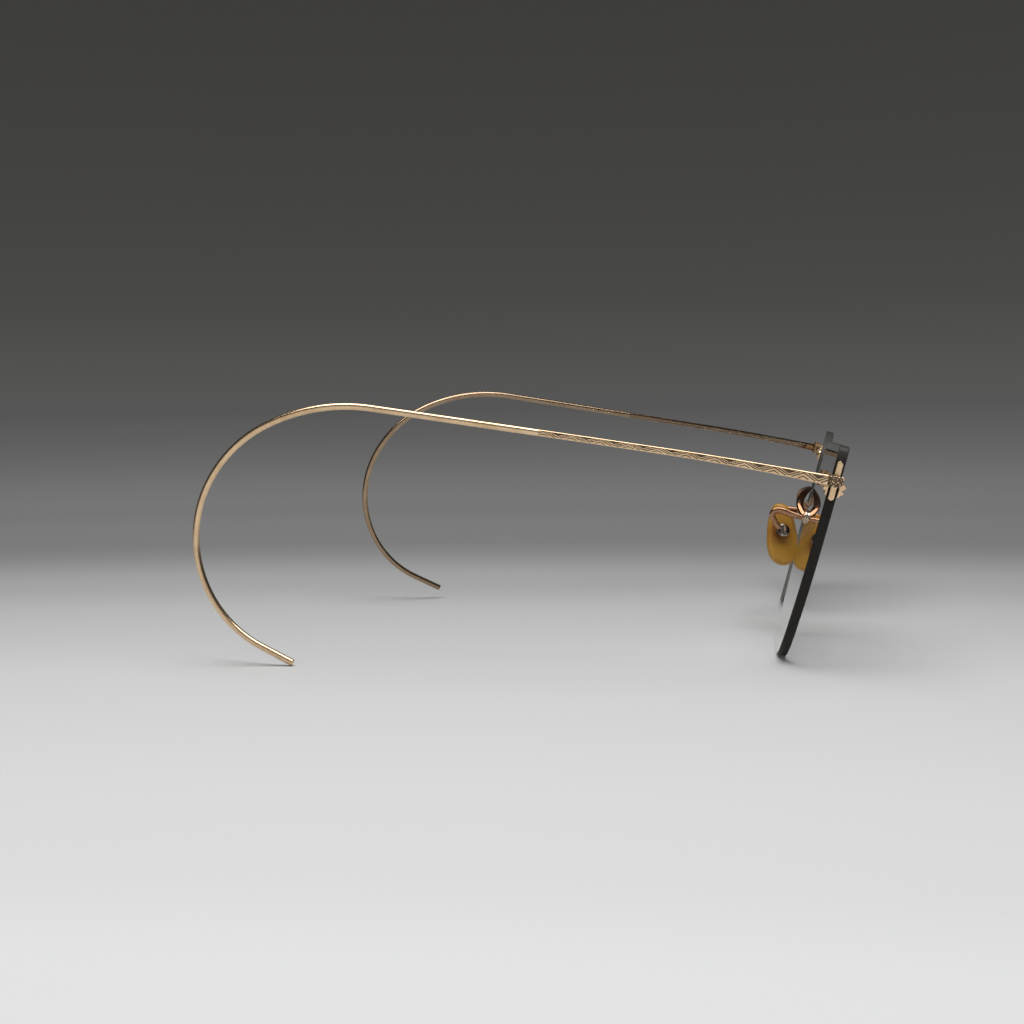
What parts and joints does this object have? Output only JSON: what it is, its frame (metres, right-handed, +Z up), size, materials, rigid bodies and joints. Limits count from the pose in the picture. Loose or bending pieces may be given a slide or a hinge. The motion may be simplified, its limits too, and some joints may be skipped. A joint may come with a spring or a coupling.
{
  "type": "rimless eyeglasses",
  "caption": "Rimless spectacles: drilled clear lenses held by small straps, thin bridge, rocking nose pads and folding engraved temples with wire ear hooks.",
  "frame": {"origin": "On the resting surface, under the middle of the whole outline as posed at rest", "axes": "+X towards the wearer's left, +Y towards the back of the head, +Z up"},
  "size_m": [0.1252, 0.1188, 0.0498],
  "materials": {
    "lens_glass": "polished faces, finely ground edge",
    "gold_metal": "pale rolled gold, polished and engraved",
    "screw_metal": "worn pale gold",
    "amber_celluloid": "translucent amber"
  },
  "bodies": {
    "front": {"right_lens": "lens_glass", "right_temporal_strap": "gold_metal", "right_nasal_strap": "gold_metal", "right_endpiece": "gold_metal", "right_front_hinge_leaf": "gold_metal", "right_guard_arm": "gold_metal", "right_pad_box": "gold_metal", "right_pad_pin": "gold_metal", "left_lens": "lens_glass", "left_temporal_strap": "gold_metal", "left_nasal_strap": "gold_metal", "left_endpiece": "gold_metal", "left_front_hinge_leaf": "gold_metal", "left_guard_arm": "gold_metal", "left_pad_box": "gold_metal", "left_pad_pin": "gold_metal", "bridge": "gold_metal", "lens_screws": "screw_metal", "hinge_screws": "screw_metal"},
    "right_temple": {"right_temple_bar": "gold_metal", "right_temple_wire": "gold_metal", "right_temple_hinge_leaf": "gold_metal"},
    "left_temple": {"left_temple_bar": "gold_metal", "left_temple_wire": "gold_metal", "left_temple_hinge_leaf": "gold_metal"},
    "right_pad": {"right_nose_pad": "amber_celluloid", "right_pad_stud": "gold_metal"},
    "left_pad": {"left_nose_pad": "amber_celluloid", "left_pad_stud": "gold_metal"}
  },
  "joints": [
    {"name": "right_temple_fold", "type": "hinge", "parent": "front", "child": "right_temple", "pos_m": [-0.06065, -0.05475, 0.03437], "axis": [0, 0.2057, -0.9786], "range_deg": [0, 84]},
    {"name": "left_temple_fold", "type": "hinge", "parent": "front", "child": "left_temple", "pos_m": [0.06065, -0.05475, 0.03437], "axis": [0, -0.2057, 0.9786], "range_deg": [-23.8, 55]},
    {"name": "right_pad_rock", "type": "hinge", "parent": "front", "child": "right_pad", "pos_m": [-0.01055, -0.04753, 0.02046], "axis": [0.4019, -0.915, -0.0351], "range_deg": [-8, 8]},
    {"name": "left_pad_rock", "type": "hinge", "parent": "front", "child": "left_pad", "pos_m": [0.01055, -0.04753, 0.02046], "axis": [0.4019, 0.915, 0.0351], "range_deg": [-8, 8]}
  ]
}
